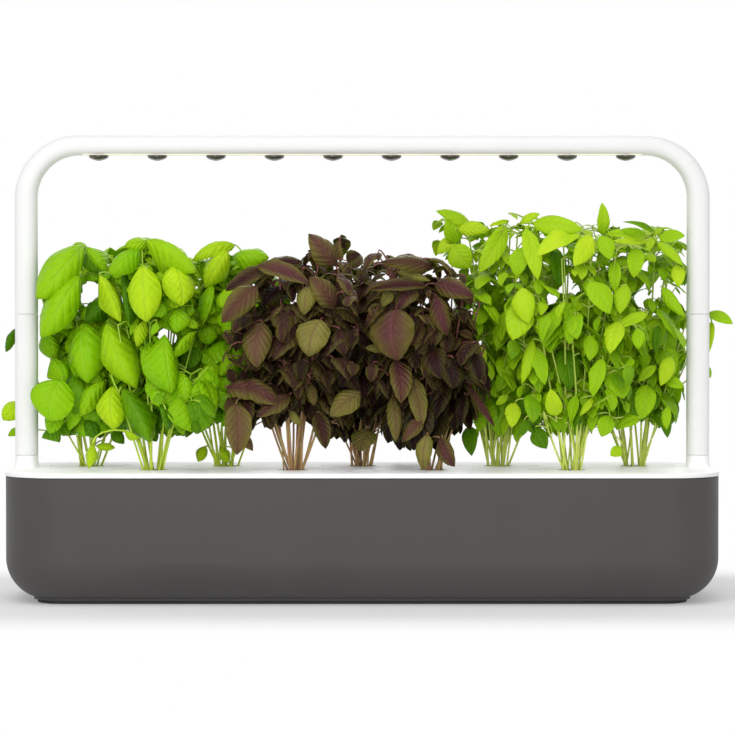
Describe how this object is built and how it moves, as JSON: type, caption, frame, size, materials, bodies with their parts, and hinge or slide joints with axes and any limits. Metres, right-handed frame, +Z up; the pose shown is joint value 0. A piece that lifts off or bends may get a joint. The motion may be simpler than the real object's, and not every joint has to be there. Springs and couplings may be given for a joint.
{
  "type": "countertop hydroponic garden",
  "caption": "Self-watering countertop herb garden: long water tank with lid, two rows of planted pods, a float and a lamp arch on lift-off extension arms.",
  "frame": {"origin": "middle of the underside of the foot plate, on the surface that the garden stands on", "axes": "+X along the tank's length towards the power inlet side, +Y towards the back, +Z up; -Y is the front"},
  "size_m": [0.624, 0.1892, 0.4076],
  "materials": {
    "tank": "satin moulded plastic, dark warm grey",
    "foot": "matt dark rubber",
    "lid": "satin moulded plastic, white",
    "tube": "smooth satin white",
    "cup": "satin moulded plastic, white",
    "float": "satin white",
    "lens": "glossy dark smoked dome",
    "diffuser": "cream diffuser",
    "board": "green circuit board",
    "contact": "bright contact metal",
    "inlet": "black socket",
    "screw": "zinc plated",
    "soil": "fibrous dark growing medium with a felt wick",
    "sweet_basil": "glossy cupped green leaves",
    "purple_basil": "serrated dark purple leaves",
    "lemon_basil": "pointed light green leaves"
  },
  "bodies": {
    "tank": {"water_tank": "tank", "foot_plate": "foot"},
    "lid": {"lid_tray": "lid", "board_tray": "cup", "timer_board": "board", "power_inlet": "inlet", "tray_screw_1": "screw", "tray_screw_2": "screw", "socket_jack": "contact", "float_guide": "cup"},
    "float": {"float_indicator": "float"},
    "extension_left": {"extension_arm_left": "tube"},
    "extension_right": {"extension_arm_right": "tube", "arm_connector": "contact"},
    "lamp": {"lamp_arch": "tube", "lamp_plug": "contact", "led_cover": "diffuser", "led_board": "board", "lens_1": "lens", "lens_2": "lens", "lens_3": "lens", "lens_4": "lens", "lens_5": "lens", "lens_6": "lens", "lens_7": "lens", "lens_8": "lens", "lens_9": "lens", "lens_10": "lens"},
    "pod_1": {"pod_cup_1": "cup", "growth_plug_1": "soil", "plant_1": "sweet_basil"},
    "pod_2": {"pod_cup_2": "cup", "growth_plug_2": "soil", "plant_2": "sweet_basil"},
    "pod_3": {"pod_cup_3": "cup", "growth_plug_3": "soil", "plant_3": "sweet_basil"},
    "pod_4": {"pod_cup_4": "cup", "growth_plug_4": "soil", "plant_4": "purple_basil"},
    "pod_5": {"pod_cup_5": "cup", "growth_plug_5": "soil", "plant_5": "purple_basil"},
    "pod_6": {"pod_cup_6": "cup", "growth_plug_6": "soil", "plant_6": "purple_basil"},
    "pod_7": {"pod_cup_7": "cup", "growth_plug_7": "soil", "plant_7": "lemon_basil"},
    "pod_8": {"pod_cup_8": "cup", "growth_plug_8": "soil", "plant_8": "lemon_basil"},
    "pod_9": {"pod_cup_9": "cup", "growth_plug_9": "soil", "plant_9": "lemon_basil"}
  },
  "joints": [
    {"name": "lid_lift", "type": "slide", "parent": "tank", "child": "lid", "axis": [0, 0, 1], "range_m": [0, 0.11]},
    {"name": "float_rise", "type": "slide", "parent": "lid", "child": "float", "axis": [0, 0, 1], "range_m": [0, 0.032]},
    {"name": "extension_left_lift", "type": "slide", "parent": "lid", "child": "extension_left", "axis": [0, 0, 1], "range_m": [0, 0.032]},
    {"name": "extension_right_lift", "type": "slide", "parent": "lid", "child": "extension_right", "axis": [0, 0, 1], "range_m": [0, 0.032]},
    {"name": "lamp_lift", "type": "slide", "parent": "extension_left", "child": "lamp", "axis": [0, 0, 1], "range_m": [0, 0.032]},
    {"name": "pod_1_lift", "type": "slide", "parent": "lid", "child": "pod_1", "axis": [0, 0, 1], "range_m": [0, 0.052]},
    {"name": "pod_2_lift", "type": "slide", "parent": "lid", "child": "pod_2", "axis": [0, 0, 1], "range_m": [0, 0.052]},
    {"name": "pod_3_lift", "type": "slide", "parent": "lid", "child": "pod_3", "axis": [0, 0, 1], "range_m": [0, 0.052]},
    {"name": "pod_4_lift", "type": "slide", "parent": "lid", "child": "pod_4", "axis": [0, 0, 1], "range_m": [0, 0.052]},
    {"name": "pod_5_lift", "type": "slide", "parent": "lid", "child": "pod_5", "axis": [0, 0, 1], "range_m": [0, 0.052]},
    {"name": "pod_6_lift", "type": "slide", "parent": "lid", "child": "pod_6", "axis": [0, 0, 1], "range_m": [0, 0.052]},
    {"name": "pod_7_lift", "type": "slide", "parent": "lid", "child": "pod_7", "axis": [0, 0, 1], "range_m": [0, 0.052]},
    {"name": "pod_8_lift", "type": "slide", "parent": "lid", "child": "pod_8", "axis": [0, 0, 1], "range_m": [0, 0.052]},
    {"name": "pod_9_lift", "type": "slide", "parent": "lid", "child": "pod_9", "axis": [0, 0, 1], "range_m": [0, 0.052]}
  ],
  "couplings": [
    {"joint": "extension_right_lift", "follows": "extension_left_lift", "ratio": 1}
  ]
}
